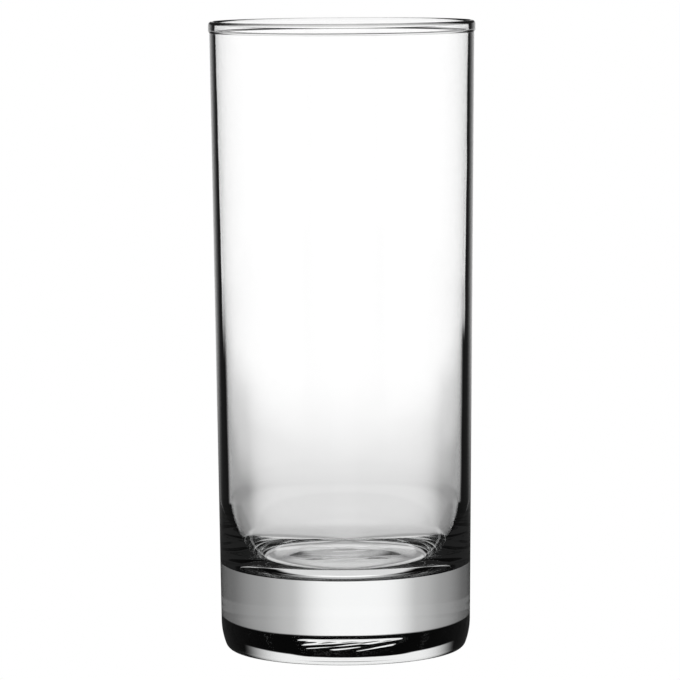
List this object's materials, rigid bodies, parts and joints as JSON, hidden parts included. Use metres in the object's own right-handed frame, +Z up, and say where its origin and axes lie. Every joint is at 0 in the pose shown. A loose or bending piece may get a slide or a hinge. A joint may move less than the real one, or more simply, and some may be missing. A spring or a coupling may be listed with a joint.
{
  "type": "highball glass",
  "caption": "Tall, nearly straight-sided clear glass tumbler with a rounded rim bead, a thin wall and a heavy solid base.",
  "frame": {"origin": "centre of the foot's rest ring, on the plane that the glass stands on", "axes": "+Z up the glass's axis through the mouth; the glass is a turned shape, so X and Y are free, and the picture looks along +Y"},
  "size_m": [0.0612, 0.0612, 0.145],
  "materials": {
    "clear_glass": "fire-polished clear soda-lime glass"
  },
  "bodies": {
    "root": {"glass": "clear_glass"}
  },
  "joints": []
}
